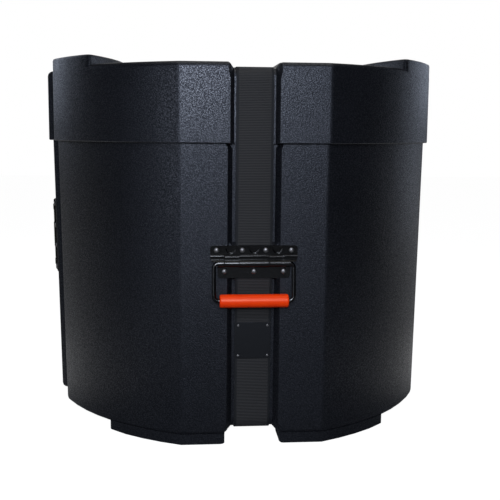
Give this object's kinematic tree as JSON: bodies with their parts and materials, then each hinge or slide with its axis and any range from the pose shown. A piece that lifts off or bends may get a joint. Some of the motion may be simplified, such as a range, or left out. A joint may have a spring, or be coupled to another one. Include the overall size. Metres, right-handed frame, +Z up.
{
  "type": "drum case",
  "caption": "Hard drum case: deep moulded tub with telescoping lid, foam lining, webbing strap with side-release buckle, steel bail carry handles and stacking feet and blocks.",
  "frame": {"origin": "Centre of the case's bounding footprint on the floor, level with the undersides of the four feet.", "axes": "+Z up; the front, with the main carry handle and the badge, faces -Y; the rib with the second handle faces -X; +X is the side with the bare rib."},
  "size_m": [0.6186, 0.5896, 0.545],
  "materials": {
    "moulded_shell": "black polyethylene with a fine pebble grain",
    "foam": "dark grey closed-cell foam",
    "webbing": "dark grey woven webbing with fine cross ribs",
    "black_steel": "gloss black coated steel",
    "rivet_steel": "dark plated steel rivets",
    "grip_plastic": "orange-red satin moulded grip",
    "badge_metal": "bare black plate",
    "buckle_plastic": "black acetal"
  },
  "bodies": {
    "base": {"base_shell": "moulded_shell", "base_floor_pad": "foam", "base_wall_liner_front": "foam", "base_wall_liner_right": "foam", "base_wall_liner_back": "foam", "base_wall_liner_left": "foam", "strap_base": "webbing", "strap_free_front": "webbing", "strap_free_back": "webbing", "front_handle_plate": "black_steel", "front_handle_rivet_1": "rivet_steel", "front_handle_rivet_2": "rivet_steel", "front_handle_rivet_3": "rivet_steel", "front_handle_rivet_4": "rivet_steel", "front_handle_rivet_5": "rivet_steel", "front_handle_rivet_6": "rivet_steel", "front_handle_rivet_7": "rivet_steel", "side_handle_plate": "black_steel", "side_handle_rivet_1": "rivet_steel", "side_handle_rivet_2": "rivet_steel", "side_handle_rivet_3": "rivet_steel", "side_handle_rivet_4": "rivet_steel", "side_handle_rivet_5": "rivet_steel", "side_handle_rivet_6": "rivet_steel", "side_handle_rivet_7": "rivet_steel", "badge_plate": "badge_metal", "badge_rivet_1": "rivet_steel", "badge_rivet_2": "rivet_steel", "badge_rivet_3": "rivet_steel", "badge_rivet_4": "rivet_steel"},
    "lid": {"lid_shell": "moulded_shell", "lid_pad": "foam", "strap_lid_front": "webbing", "strap_lid_back": "webbing", "buckle_socket": "buckle_plastic", "buckle_plug": "buckle_plastic"},
    "front_carry_handle": {"front_bail": "black_steel", "front_grip": "grip_plastic"},
    "side_carry_handle": {"side_bail": "black_steel", "side_grip": "grip_plastic"},
    "buckle_release_left": {"buckle_arm_left": "buckle_plastic"},
    "buckle_release_right": {"buckle_arm_right": "buckle_plastic"}
  },
  "joints": [
    {"name": "lid_lift", "type": "slide", "parent": "base", "child": "lid", "axis": [0, 0, 1], "range_m": [0, 0.105], "deforming": ["strap_free_front", "strap_free_back"]},
    {"name": "front_bail_swing", "type": "hinge", "parent": "base", "child": "front_carry_handle", "pos_m": [0.00232, -0.27991, 0.25995], "axis": [-1, 0, 0], "range_deg": [0, 82.7]},
    {"name": "side_bail_swing", "type": "hinge", "parent": "base", "child": "side_carry_handle", "pos_m": [-0.29946, 0.00696, 0.26795], "axis": [-0.0146, 0, 0.9999], "range_deg": [0, 90]},
    {"name": "buckle_left_squeeze", "type": "hinge", "parent": "lid", "child": "buckle_release_left", "pos_m": [-0.01768, 0.00276, 0.5233], "axis": [0, 0, -1], "range_deg": [0, 11], "stiffness_Nm_per_rad": 0.3},
    {"name": "buckle_right_squeeze", "type": "hinge", "parent": "lid", "child": "buckle_release_right", "pos_m": [0.02232, 0.00276, 0.5233], "axis": [0, 0, 1], "range_deg": [0, 11], "stiffness_Nm_per_rad": 0.3}
  ]
}
